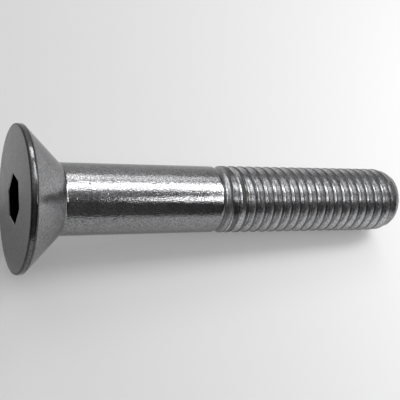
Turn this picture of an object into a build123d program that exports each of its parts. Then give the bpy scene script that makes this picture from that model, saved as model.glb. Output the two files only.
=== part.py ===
from build123d import *
from math import acos, atan, ceil, cos, degrees, hypot, radians, sin, sqrt, tan
import os

# Countersunk hexagon-socket machine screw, partly threaded, in one piece.
# All sizes are in millimetres and angles in degrees.

# Length, from the flat face of the head to the tip
length = 60.0
thread_length = 27.0      # thread at full depth, up to the tip
runout_turns = 2          # turns over which the groove fades out towards the head
neck_length = 1.2         # bare neck between the shank and the first crest

# Head
head_d = 20.0
rim_height = 0.8          # straight edge between the face and the cone
rim_chamfer = 0.2
cone_angle = 90.0
seat_fillet = 0.6         # where the cone runs into the shank

# Thread, a metric profile
thread_d = 10.0
pitch = 1.5
crest_trim = 0.1          # rolled crests stay this much under the nominal radius
flank_angle = 30.0
thread_start = 181.0      # where round the axis the groove begins, from the underside

# Socket for a hexagon key
key_size = 6.0
key_clearance = 0.05
socket_depth = 4.4
drill_angle = 120.0
entry_chamfer = 0.2
socket_turn = 51.0        # of one corner, round the axis

# Radii that follow from the thread
crest_r = thread_d / 2 - crest_trim
pitch_r = thread_d / 2 - 0.3248 * pitch
root_r = thread_d / 2 - 0.6134 * pitch
shank_r = crest_r

# Stations along the axis, counted from the face of the head
cone_end = rim_height + (head_d / 2 - shank_r) / tan(radians(cone_angle / 2))
full_thread = length - thread_length
first_groove = full_thread - runout_turns * pitch
shank_end = first_groove - neck_length
dome_start = length - sqrt(crest_r**2 - root_r**2)


def blank():
    """The turned body before its socket and thread: half a section, spun round the axis."""
    rim = (head_d / 2, rim_height)
    seat = (shank_r, cone_end)
    neck = (pitch_r, shank_end + neck_length / 2)
    first_crest = (pitch_r, first_groove)
    crest = (crest_r, first_groove + 0.8 * pitch)
    dome = (crest_r, dome_start)
    with BuildSketch() as section:
        with BuildLine():
            Polyline((0, 0), (head_d / 2, 0), rim, seat, (shank_r, shank_end), neck, first_crest, crest, dome)
            CenterArc((0, dome_start), crest_r, 0, degrees(acos(root_r / crest_r)))
            Polyline((root_r, length), (0, length), (0, 0))
        make_face()
        face_corner = section.vertices().sort_by_distance((head_d / 2, 0))[0]
        chamfer(face_corner, rim_chamfer)
        seat_corner = section.vertices().sort_by_distance(seat)[0]
        fillet(seat_corner, seat_fillet)
    return revolve(Plane.XZ * section.sketch, axis=Axis.Z)


def socket():
    """The hexagon hole with the cone that its drill leaves, and the chamfer round its mouth."""
    flat_r = (key_size + key_clearance) / 2
    corner_r = flat_r / cos(radians(30))
    cone_depth = corner_r / tan(radians(drill_angle / 2))
    from_face = (Align.CENTER, Align.CENTER, Align.MIN)
    hexagon = extrude(RegularPolygon(corner_r, 6), socket_depth)
    below = extrude(RegularPolygon(corner_r, 6), socket_depth + cone_depth)
    drilled = below & (Pos(0, 0, socket_depth) * Cone(corner_r, 0, cone_depth, align=from_face))
    mouth = Cone(corner_r + entry_chamfer, corner_r, entry_chamfer, align=from_face)
    return Rot(0, 0, socket_turn) * (hexagon + drilled + mouth)


def groove_half(radius):
    """Half the width of the full groove at one radius, by the metric profile."""
    return pitch / 4 + (radius - pitch_r) * tan(radians(flank_angle))


def groove(start, turns, lift):
    """One stretch of the helical groove, which starts `lift` further out and sinks to full depth."""
    middle = (root_r + crest_r) / 2
    mouth = thread_d / 2
    corners = [
        (root_r, 0),
        (middle, groove_half(middle)),
        (mouth, groove_half(mouth)),
        (mouth, -groove_half(mouth)),
        (middle, -groove_half(middle)),
    ]
    height = turns * pitch
    slope = -degrees(atan(lift / height))
    lines = [Edge.make_helix(pitch, height, r + lift, (0, 0, start + z), angle=slope) for r, z in corners]
    after = lines[1:] + lines[:1]
    sides = [Face.make_surface_from_curves(a, b) for a, b in zip(lines, after)]
    for end in (0, 1):
        sides.append(Face(Wire([Edge.make_line(a @ end, b @ end) for a, b in zip(lines, after)])))
    return Rot(0, 0, thread_start) * Solid(Shell(sides))


def thread_grooves():
    """The run-out first, then full-depth stretches of two turns each, to past the tip."""
    step = 2 * pitch
    count = ceil((thread_length + pitch) / step)
    runout = groove(first_groove, runout_turns, crest_r - root_r)
    return [runout] + [groove(full_thread + i * step, 2, 0) for i in range(count)]


def laid_down(screw):
    """Turned on its side as it rests, on the rim of its head and the dome of its tip, tip to +X."""
    rim_r = head_d / 2
    reach = dome_start - rim_height
    tilt = acos(crest_r / hypot(rim_r, reach)) - atan(reach / rim_r)
    left = -(rim_r - rim_chamfer) * sin(tilt)
    right = length * cos(tilt) + root_r * sin(tilt)
    low = -rim_height * sin(tilt) - rim_r * cos(tilt)
    return Pos(-(left + right) / 2, 0, -low) * Rot(0, 90 + degrees(tilt), 0) * screw


screw = (blank() - socket()).cut(*thread_grooves())
screw = laid_down(screw)

os.makedirs("parts", exist_ok=True)
export_step(screw, "parts/screw.step")
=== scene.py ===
from math import acos, atan, atan2, cos, hypot, pi, radians, sin, sqrt, tan

import bmesh
import bpy
from mathutils import Matrix, Vector


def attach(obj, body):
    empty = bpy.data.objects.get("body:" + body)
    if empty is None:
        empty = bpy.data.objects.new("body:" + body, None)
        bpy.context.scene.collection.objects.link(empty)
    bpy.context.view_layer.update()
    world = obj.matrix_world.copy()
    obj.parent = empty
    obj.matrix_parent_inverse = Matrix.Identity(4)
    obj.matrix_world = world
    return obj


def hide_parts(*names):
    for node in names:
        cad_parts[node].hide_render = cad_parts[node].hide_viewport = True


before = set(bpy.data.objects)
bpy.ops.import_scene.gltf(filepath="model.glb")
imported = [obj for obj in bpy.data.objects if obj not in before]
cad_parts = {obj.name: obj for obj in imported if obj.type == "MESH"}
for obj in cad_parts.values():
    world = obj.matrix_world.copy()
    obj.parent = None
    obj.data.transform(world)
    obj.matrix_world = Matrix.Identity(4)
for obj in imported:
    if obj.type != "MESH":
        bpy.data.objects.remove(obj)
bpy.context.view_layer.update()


# The head and the plain shank: cold-formed from stainless wire, with a flat face, a short upright
# rim, a 90 degree cone that beds in a countersink, and a shank that ends in a rounded shoulder.
# Millimetres along +Z, from the face of the head to the tip, until the finished screw is laid down.
screw_length = 60.0
head_r = 10.0
rim_height = 0.8
face_edge = 0.2
shank_r = 4.98
shank_end_r = 4.82
cone_end = rim_height + head_r - shank_r
shank_end = 28.7
neck_r = 4.44
neck_start = 29.2
neck_slope = 0.2
neck_end = 29.5
lip_start = 29.85
lip_end = 30.1
crest_r = 4.9
columns = 120


def neck(s):
    """The bare neck of the rolled blank, a slight cone up to the lip of the first crest."""
    foot = neck_r + neck_slope * (min(s, lip_start) - neck_start)
    risen = min(max((s - lip_start) / (lip_end - lip_start), 0), 1)
    return foot + (crest_r - foot) * risen


def polyline(bm, points, azimuth=0.0):
    """A chain of edges through (radius, height) points, standing at one azimuth round the axis."""
    verts = [bm.verts.new((r * cos(azimuth), r * sin(azimuth), z)) for r, z in points]
    for a, b in zip(verts, verts[1:]):
        bm.edges.new((a, b))
    return verts


def round_corner(bm, vert, width, segments):
    bmesh.ops.bevel(
        bm, geom=[vert], offset=width, offset_type="OFFSET", segments=segments,
        profile=0.5, affect="VERTICES", material=-1,
    )


# The outline of the head starts at the bottom of its socket, so the socket's sizes stand here.
key_flat_r = 3.025
key_corner_r = key_flat_r / cos(radians(30))
entry_chamfer = 0.1
mouth_r = key_corner_r + entry_chamfer / cos(radians(30))
socket_depth = 4.4
socket_turn = radians(51)
drill_slope = tan(radians(30))

screw = bmesh.new()
outline = polyline(screw, [
    (0, socket_depth + key_corner_r * drill_slope),
    (key_corner_r, socket_depth),
    (key_corner_r, entry_chamfer),
    (mouth_r, 0),
    (head_r, 0),
    (head_r, rim_height),
    (shank_r, cone_end),
    (shank_end_r, shank_end),
    (neck_r, neck_start),
    (neck(neck_end), neck_end),
])
face_corner, cone_corner, seat_corner, shoulder, shoulder_foot = outline[4:9]
for corner, width, segments in (
    (face_corner, face_edge, 4),
    (cone_corner, 0.1, 3),
    (seat_corner, 0.25, 5),
    (shoulder, 0.36, 6),
    (shoulder_foot, 0.22, 5),
):
    round_corner(screw, corner, width, segments)
bmesh.ops.spin(
    screw, geom=screw.verts[:] + screw.edges[:], cent=(0, 0, 0), axis=(0, 0, 1), dvec=(0, 0, 0),
    angle=2 * pi, steps=columns, use_merge=True, use_normal_flip=False, use_duplicate=False,
)
bmesh.ops.rotate(
    screw, verts=screw.verts[:], cent=(0, 0, 0), matrix=Matrix.Rotation(socket_turn, 3, "Z"),
)
bmesh.ops.remove_doubles(screw, verts=screw.verts[:], dist=1e-4)


# The socket: a hexagon hole for a 6 mm key, punched over a drilled cone, its mouth chamfered. The
# round hole from the spin is drawn in to the six flats, and its bottom edge follows the cone.
touch = 1e-3
for v in screw.verts:
    r = hypot(v.co.x, v.co.y)
    if r < key_corner_r - touch or r > mouth_r + touch:
        continue
    around = (atan2(v.co.y, v.co.x) - socket_turn) % radians(60)
    drawn_in = cos(radians(30)) / cos(around - radians(30))
    v.co.x *= drawn_in
    v.co.y *= drawn_in
    if v.co.z > socket_depth - touch:
        v.co.z += key_corner_r * (1 - drawn_in) * drill_slope


# The thread, M10 x 1.5 and right-hand: rolled, so its crests and roots are rounded, its first turns
# rise out of a neck with a seam along their crests, and the tip is domed. One turn is spun from its
# outline and copied up the axis, then all of them are drawn in to the neck and the dome.
pitch = 1.5
root_r = 4.08
pitch_r = 4.513
first_groove = 30.0
full_thread = 33.0
thread_start = radians(181)
thread_low = 27.0
thread_foot = 29.55
turns = 22
root_rounding = 0.09
crest_rounding = 0.065
seam_half = 0.08
seam_depth = 0.13
seam_end = 34.5
seam_fade = 3.0
dome_start = screw_length - sqrt(crest_r ** 2 - root_r ** 2)


def groove_half(r):
    """Half the width of the full groove at one radius, by the metric profile."""
    return pitch / 4 + (r - pitch_r) * tan(radians(30))


root_half = groove_half(root_r)
crest_half = groove_half(crest_r)
thread = bmesh.new()
tooth = polyline(thread, [(r, thread_low + z) for r, z in (
    (root_r, 0),
    (root_r, root_half),
    (crest_r, crest_half),
    (crest_r, pitch / 2 - seam_half),
    (crest_r, pitch / 2),
    (crest_r, pitch / 2 + seam_half),
    (crest_r, pitch - crest_half),
    (root_r, pitch - root_half),
    (root_r, pitch),
)], thread_start)
for corner, width in (
    (1, root_rounding), (7, root_rounding), (2, crest_rounding), (6, crest_rounding),
):
    round_corner(thread, tooth[corner], width, 4)
bmesh.ops.spin(
    thread, geom=thread.verts[:] + thread.edges[:], cent=(0, 0, 0), axis=(0, 0, 1),
    dvec=(0, 0, pitch / columns), angle=2 * pi, steps=columns,
    use_merge=False, use_normal_flip=False, use_duplicate=False,
)
first_turn = thread.faces[:]
for number in range(1, turns):
    copied = bmesh.ops.duplicate(thread, geom=first_turn)["geom"]
    moved = [item for item in copied if isinstance(item, bmesh.types.BMVert)]
    bmesh.ops.translate(thread, verts=moved, vec=(0, 0, pitch * number))
bmesh.ops.remove_doubles(thread, verts=thread.verts[:], dist=1e-3)


def cut_across(bm, height, **cleared):
    """A level cut through the thread, which can clear away what lies below or above it."""
    bmesh.ops.bisect_plane(
        bm, geom=bm.verts[:] + bm.edges[:] + bm.faces[:], dist=1e-5,
        plane_co=(0, 0, height), plane_no=(0, 0, 1), **cleared,
    )


def blank_r(s):
    """The outside of the rolled blank: the neck, its lip, the full crests and the dome."""
    if s > dome_start:
        return sqrt(max(crest_r ** 2 - (s - dome_start) ** 2, 0))
    return neck(s)


for height in (lip_start, (lip_start + lip_end) / 2, lip_end):
    cut_across(thread, height)

for v in thread.verts:
    r, s = hypot(v.co.x, v.co.y), v.co.z
    turned_by = (atan2(v.co.y, v.co.x) - thread_start) / (2 * pi)
    in_tooth = (s - thread_low - pitch * turned_by) % pitch
    runout = min(max((full_thread - s) / (full_thread - first_groove), 0), 1)
    lift = (crest_r - root_r) * runout
    seam = 0
    if abs(in_tooth - pitch / 2) < 0.01:
        seam = seam_depth * min(max((seam_end - s) / seam_fade, 0), 1)
    new = min(blank_r(s), r + lift - seam)
    if r > crest_r - touch:
        new = min(new, blank_r(s) - seam)
    v.co.x *= new / r
    v.co.y *= new / r

cut_across(thread, thread_foot, clear_inner=True)
cut_across(thread, screw_length, clear_outer=True)

thread_mesh = bpy.data.meshes.new("thread")
thread.to_mesh(thread_mesh)
thread.free()
screw.from_mesh(thread_mesh)
bpy.data.meshes.remove(thread_mesh)
neck_rims = [e for e in screw.edges if e.is_boundary and e.verts[0].co.z < full_thread]
bmesh.ops.bridge_loops(screw, edges=neck_rims)
tip_rim = [e for e in screw.edges if e.is_boundary]
bmesh.ops.contextual_create(screw, geom=tip_rim)


# The whole screw, one piece of steel, as it lies on a table: on the rim of its head and the dome of
# its tip, with the tip towards +X. Its faces are smooth, but sharp where two meet at a real edge.
mm = 0.001
sharp_angle = radians(28)
reach = dome_start - rim_height
tilt = acos(crest_r / hypot(head_r, reach)) - atan(reach / head_r)
left = -(head_r - face_edge) * sin(tilt)
right = screw_length * cos(tilt) + root_r * sin(tilt)
low = -rim_height * sin(tilt) - head_r * cos(tilt)
head_centre = Vector((-(left + right) / 2, 0, -low)) * mm
lay_down = Matrix.Translation(head_centre) @ Matrix.Rotation(radians(90) + tilt, 4, "Y")
bmesh.ops.scale(screw, vec=(mm, mm, mm), verts=screw.verts[:])
bmesh.ops.transform(screw, matrix=lay_down, verts=screw.verts[:])
bmesh.ops.recalc_face_normals(screw, faces=screw.faces[:])
for face in screw.faces:
    face.smooth = True
for edge in screw.edges:
    if edge.is_manifold and edge.calc_face_angle() > sharp_angle:
        edge.smooth = False
screw_mesh = bpy.data.meshes.new("steel_screw")
screw.to_mesh(screw_mesh)
screw.free()
steel_screw = bpy.data.objects.new("steel_screw", screw_mesh)
bpy.context.scene.collection.objects.link(steel_screw)


# The finish: plain stainless steel, drawn and rolled, the thread drawn darker. Painted shade
# darkens the socket, the rim, the roots of the thread, the neck and the dome; painted light lifts
# the thread's flanks and the matte sheared tip.
steel_colour = (0.26, 0.26, 0.265, 1)
edge_colour = (0.8, 0.8, 0.8, 1)
mark_depth = 0.00002
steel = bpy.data.materials.new("steel")
steel.use_nodes = True
tree = steel.node_tree
shader = tree.nodes["Principled BSDF"]
shader.inputs["Metallic"].default_value = 1
shader.inputs["Specular Tint"].default_value = edge_colour


def feed(socket, value):
    if isinstance(value, bpy.types.NodeSocket):
        tree.links.new(value, socket)
    else:
        socket.default_value = value


def work_out(operation, *values):
    """One maths node, worked out at each point of the steel."""
    step = tree.nodes.new("ShaderNodeMath")
    step.operation = operation
    for socket, value in zip(step.inputs, values):
        feed(socket, value)
    return step.outputs[0]


def plus(a, b):
    return work_out("ADD", a, b)


def minus(a, b):
    return work_out("SUBTRACT", a, b)


def times(a, b):
    return work_out("MULTIPLY", a, b)


def fade(value, start, end, low=0.0, high=1.0):
    """A smooth step: `low` where the value is at `start`, `high` where it is at `end`."""
    step = tree.nodes.new("ShaderNodeMapRange")
    step.interpolation_type = "SMOOTHSTEP"
    feed(step.inputs["Value"], value)
    feed(step.inputs["From Min"], start)
    feed(step.inputs["From Max"], end)
    feed(step.inputs["To Min"], low)
    feed(step.inputs["To Max"], high)
    return step.outputs["Result"]


def noise(vector, scale, detail=2.0, roughness=0.5):
    texture = tree.nodes.new("ShaderNodeTexNoise")
    feed(texture.inputs["Vector"], vector)
    feed(texture.inputs["Scale"], scale)
    feed(texture.inputs["Detail"], detail)
    feed(texture.inputs["Roughness"], roughness)
    return texture.outputs["Fac"]


def vector_of(x, y, z):
    joined = tree.nodes.new("ShaderNodeCombineXYZ")
    for socket, value in zip(joined.inputs, (x, y, z)):
        feed(socket, value)
    return joined.outputs["Vector"]


# Places on the steel are read along and round the screw's own axis, in millimetres. The rolling
# marks start again once in each pitch, on the flank that faces the tip.
where = tree.nodes.new("ShaderNodeTexCoord")
on_axis = tree.nodes.new("ShaderNodeMapping")
on_axis.vector_type = "TEXTURE"
on_axis.inputs["Location"].default_value = head_centre
on_axis.inputs["Rotation"].default_value = (0, radians(90) + tilt, 0)
on_axis.inputs["Scale"].default_value = (mm, mm, mm)
tree.links.new(where.outputs["Object"], on_axis.inputs["Vector"])
point = on_axis.outputs["Vector"]
parts = tree.nodes.new("ShaderNodeSeparateXYZ")
tree.links.new(point, parts.inputs["Vector"])
x, y, along = parts.outputs
radius = work_out("SQRT", plus(times(x, x), times(y, y)))
part_turn = work_out("DIVIDE", work_out("ARCTAN2", y, x), 2 * pi)
marks_start = 0.254
in_pitch = work_out("WRAP", minus(along, times(part_turn, pitch)), pitch + marks_start, marks_start)


def by_distance(station, start, end):
    """A smooth step by the distance from one station on the axis: 0 at `start`, 1 at `end`."""
    return fade(work_out("ABSOLUTE", minus(along, station)), start, end)


# Each of these is 1 on the place that it is named after, and 0 elsewhere.
on_head = fade(along, 5.6, 6.1, 1, 0)
on_face = fade(along, 0.05, 0.15, 1, 0)
on_thread = fade(along, 29.4, 30.4)
on_shank = minus(minus(1, on_head), on_thread)
# Painted shade: the neck is also drawn a fifth darker, to keep it dark where it would catch the
# lamps; it is rougher too.
on_neck = by_distance(29.4, 0.75, 0.5)
# Painted light: the sheared end of the tip is drawn twice as light, so it doesn't read as a black
# disc; it is also matte.
on_end = fade(along, 59.92, 59.97)
# Painted shade: the dome of the tip is drawn at half the colour, for its dark reflection.
dome_painted_shade = times(fade(along, 58.7, 59.5), fade(radius, 4.0, 4.1))
# Painted shade: the rim is drawn darker, and darker again towards both its edges, for its dark
# reflection and the dark lines along its edges.
on_rim = fade(radius, 9.7, 9.85)
rim_edge_painted_shade = times(on_rim, by_distance(0.45, 0.1, 0.33))
# Painted light: the whole thread is drawn at half the colour and its flanks 3.8 times lighter
# again, standing in for the light the flanks catch.
flank_painted_light = times(fade(radius, 4.86, 4.8), on_thread)
# Painted shade: the roots of the thread are drawn darker, for the shade in the grooves.
root_painted_shade = times(fade(radius, 4.4, 4.15), on_thread)
# Painted shade: the socket is drawn almost black, for the shade inside the hole.
socket_painted_shade = times(fade(radius, 3.7, 3.6), fade(along, 0.08, 0.2))

# The marks: fine grain and speckle all over, drawn along the shank, turned round the head and
# rolled along the thread, with a few pits.
grain = noise(point, 4.5)
speckle = noise(point, 4.5, roughness=0.7)
coarse = noise(point, 0.5, 3)
drawn = noise(vector_of(times(x, 6), times(y, 6), times(along, 1.2)), 1)
turned = noise(vector_of(
    times(radius, 7), plus(times(along, 7), times(y, 0.25)), times(x, 0.25)), 1, 3)
rolled = noise(vector_of(
    times(in_pitch, 9),
    plus(times(along, 0.7), times(y, 0.5)),
    plus(times(radius, 6), times(x, 0.5))), 1, 3)
pits = fade(noise(point, 1.7, 1), 0.72, 0.8)

height = times(grain, plus(0.2, times(on_shank, 0.6)))
for mark, place, depth in (
    (drawn, on_shank, 0.65), (turned, on_head, 0.18), (rolled, on_thread, 0.14),
):
    height = plus(height, times(times(mark, place), depth))
height = minus(height, times(pits, 0.8))
bump = tree.nodes.new("ShaderNodeBump")
bump.inputs["Strength"].default_value = 1
bump.inputs["Distance"].default_value = mark_depth
tree.links.new(height, bump.inputs["Height"])
tree.links.new(bump.outputs["Normal"], shader.inputs["Normal"])

rough = 0.12
for place, extra in ((on_face, 0.15), (on_thread, 0.1), (on_neck, 0.22), (on_end, 0.2)):
    rough = plus(rough, times(place, extra))
rough = plus(rough, fade(coarse, 0.35, 0.65, 0, 0.06))
tree.links.new(rough, shader.inputs["Roughness"])

# The colour: random tone from the coarse noise and the speckle, darker pits, slightly darker on the
# face, and the painted light and shade at the places listed below.
colour_and_painted_light = times(fade(coarse, 0.3, 0.7, 0.93, 1.03), fade(speckle, 0.3, 0.7, 0.65, 1.35))
for place, lighter in (
    (root_painted_shade, -0.3), (pits, -0.4), (on_thread, -0.5), (flank_painted_light, 2.8), (dome_painted_shade, -0.5),
    (on_end, 1.0), (on_neck, -0.2), (socket_painted_shade, -0.95), (on_rim, -0.45), (rim_edge_painted_shade, -0.5),
    (on_face, -0.08),
):
    colour_and_painted_light = times(colour_and_painted_light, plus(1, times(place, lighter)))
tone = tree.nodes.new("ShaderNodeMix")
tone.data_type = "RGBA"
tone.inputs["A"].default_value = (0, 0, 0, 1)
tone.inputs["B"].default_value = steel_colour
tone.clamp_factor = False
tree.links.new(colour_and_painted_light, tone.inputs["Factor"])
tree.links.new(tone.outputs["Result"], shader.inputs["Base Color"])
steel_screw.data.materials.append(steel)
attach(steel_screw, "root")
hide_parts("screw")


# The floor: a plain pale sweep of card, large enough to fill the view. A fifth of it is plain white
# to the camera and in reflections, and the rest takes the light and the screw's shadow.
card_size = 3.0
card_colour = (0.64, 0.64, 0.64, 1)
card_white = 0.2
floor_mesh = bpy.data.meshes.new("floor")
floor_bm = bmesh.new()
bmesh.ops.create_grid(floor_bm, x_segments=1, y_segments=1, size=card_size / 2)
floor_bm.to_mesh(floor_mesh)
floor_bm.free()
floor = bpy.data.objects.new("floor", floor_mesh)
bpy.context.scene.collection.objects.link(floor)
card = bpy.data.materials.new("card")
card.use_nodes = True
card_nodes = card.node_tree.nodes
card_links = card.node_tree.links
card_shader = card_nodes["Principled BSDF"]
card_shader.inputs["Base Color"].default_value = card_colour
card_shader.inputs["Roughness"].default_value = 0.9
card_shader.inputs["Specular IOR Level"].default_value = 0
white = card_nodes.new("ShaderNodeEmission")
white.inputs["Color"].default_value = (1, 1, 1, 1)
ray = card_nodes.new("ShaderNodeLightPath")
seen = ray.outputs["Is Camera Ray"]
for name in ("Is Glossy Ray", "Is Transmission Ray"):
    either = card_nodes.new("ShaderNodeMath")
    either.operation = "MAXIMUM"
    card_links.new(seen, either.inputs[0])
    card_links.new(ray.outputs[name], either.inputs[1])
    seen = either.outputs[0]
share = card_nodes.new("ShaderNodeMath")
share.operation = "MULTIPLY"
share.inputs[1].default_value = card_white
card_links.new(seen, share.inputs[0])
both = card_nodes.new("ShaderNodeMixShader")
card_links.new(share.outputs[0], both.inputs["Fac"])
card_links.new(card_shader.outputs["BSDF"], both.inputs[1])
card_links.new(white.outputs["Emission"], both.inputs[2])
card_links.new(both.outputs["Shader"], card_nodes["Material Output"].inputs["Surface"])
floor.data.materials.append(card)


# The camera stands above and in front, level with the screw's own axis: it looks at the axis 25
# degrees off square, from the head's side, and is rolled so that the axis is level in the picture.
picture = 400
focal_px = 799.0
sensor = 36
head_distance = 0.10506
head_at = (13.6, 199.1)
turn_to_head = radians(25.1)
near_azimuth = radians(210)

axis = lay_down.to_3x3() @ Vector((0, 0, 1))
near = lay_down.to_3x3() @ Vector((cos(near_azimuth), sin(near_azimuth), 0))
back = cos(turn_to_head) * near - sin(turn_to_head) * axis
right_hand = cos(turn_to_head) * axis + sin(turn_to_head) * near
up = back.cross(right_hand)
off_x = (head_at[0] - picture / 2) * head_distance / focal_px
off_y = (picture / 2 - head_at[1]) * head_distance / focal_px
eye = head_centre + head_distance * back - off_x * right_hand - off_y * up

camera_data = bpy.data.cameras.new("camera")
camera_data.sensor_width = sensor
camera_data.lens = focal_px / picture * sensor
camera_data.clip_start = 0.005
camera_data.clip_end = 20
camera = bpy.data.objects.new("camera", camera_data)
facing = Matrix((right_hand, up, back)).transposed().to_4x4()
camera.matrix_world = Matrix.Translation(eye) @ facing
bpy.context.scene.collection.objects.link(camera)
bpy.context.scene.camera = camera


# The lamps: soft boxes in line with the screw's axis. Each stands at a turn from the camera's side
# towards the top of the picture and is `spread` degrees wide. It starts and ends at a distance from
# the head's face along the axis, and stands 0.25 m off the axis, or 0.1 m for the close ones.
close = 0.1


def softbox(name, turn, spread, radiance, start, end, distance=0.25):
    away = cos(radians(turn)) * near + sin(radians(turn)) * up
    width = 2 * distance * tan(radians(spread / 2))
    data = bpy.data.lights.new(name, "AREA")
    data.shape = "RECTANGLE"
    data.size = end - start
    data.size_y = width
    data.energy = radiance * pi * data.size * width
    lamp = bpy.data.objects.new(name, data)
    lamp.visible_camera = False
    facing = Matrix((axis, away.cross(axis), away)).transposed().to_4x4()
    place = head_centre + distance * away + (start + end) / 2 * axis
    lamp.matrix_world = Matrix.Translation(place) @ facing
    bpy.context.scene.collection.objects.link(lamp)


softbox("main_box", 44, 25, 4.4, 0.065, 0.42)
softbox("rear_box", 73, 18, 5.4, 0.04, 0.095)
softbox("rear_end", 73, 18, 1.7, 0.095, 0.18)
softbox("front_strip", 0, 8, 5.5, 0.064, 0.088, close)
softbox("thread_strip", 1, 13, 8.0, 0.088, 0.14, close)
softbox("thread_fill", 19, 24, 3.0, 0.092, 0.14, close)
softbox("thread_box", 39, 16, 10.0, 0.088, 0.14, close)

# The room: white light from behind the screw and above it, and little from in front and from
# both ends of the table.
room = bpy.data.worlds.new("room")
bpy.context.scene.world = room
room.use_nodes = True
room_nodes = room.node_tree.nodes
room_links = room.node_tree.links
background = room_nodes["Background"]
background.inputs["Color"].default_value = (1, 1, 1, 1)
look = room_nodes.new("ShaderNodeTexCoord")
split = room_nodes.new("ShaderNodeSeparateXYZ")
room_links.new(look.outputs["Generated"], split.inputs["Vector"])
sideways = room_nodes.new("ShaderNodeMath")
sideways.operation = "ABSOLUTE"
room_links.new(split.outputs["X"], sideways.inputs[0])
level = room_nodes.new("ShaderNodeMath")
level.operation = "MULTIPLY"
for number, (direction, start, end, from_level, to_level) in enumerate((
    (split.outputs["Y"], -0.6, 0.0, 0.12, 0.68),
    (sideways.outputs[0], 0.44, 0.68, 1, 0.25),
)):
    ramp = room_nodes.new("ShaderNodeMapRange")
    ramp.interpolation_type = "SMOOTHSTEP"
    ramp.inputs["From Min"].default_value = start
    ramp.inputs["From Max"].default_value = end
    ramp.inputs["To Min"].default_value = from_level
    ramp.inputs["To Max"].default_value = to_level
    room_links.new(direction, ramp.inputs["Value"])
    room_links.new(ramp.outputs["Result"], level.inputs[number])
room_links.new(level.outputs[0], background.inputs["Strength"])

bpy.context.scene.view_settings.view_transform = "Standard"
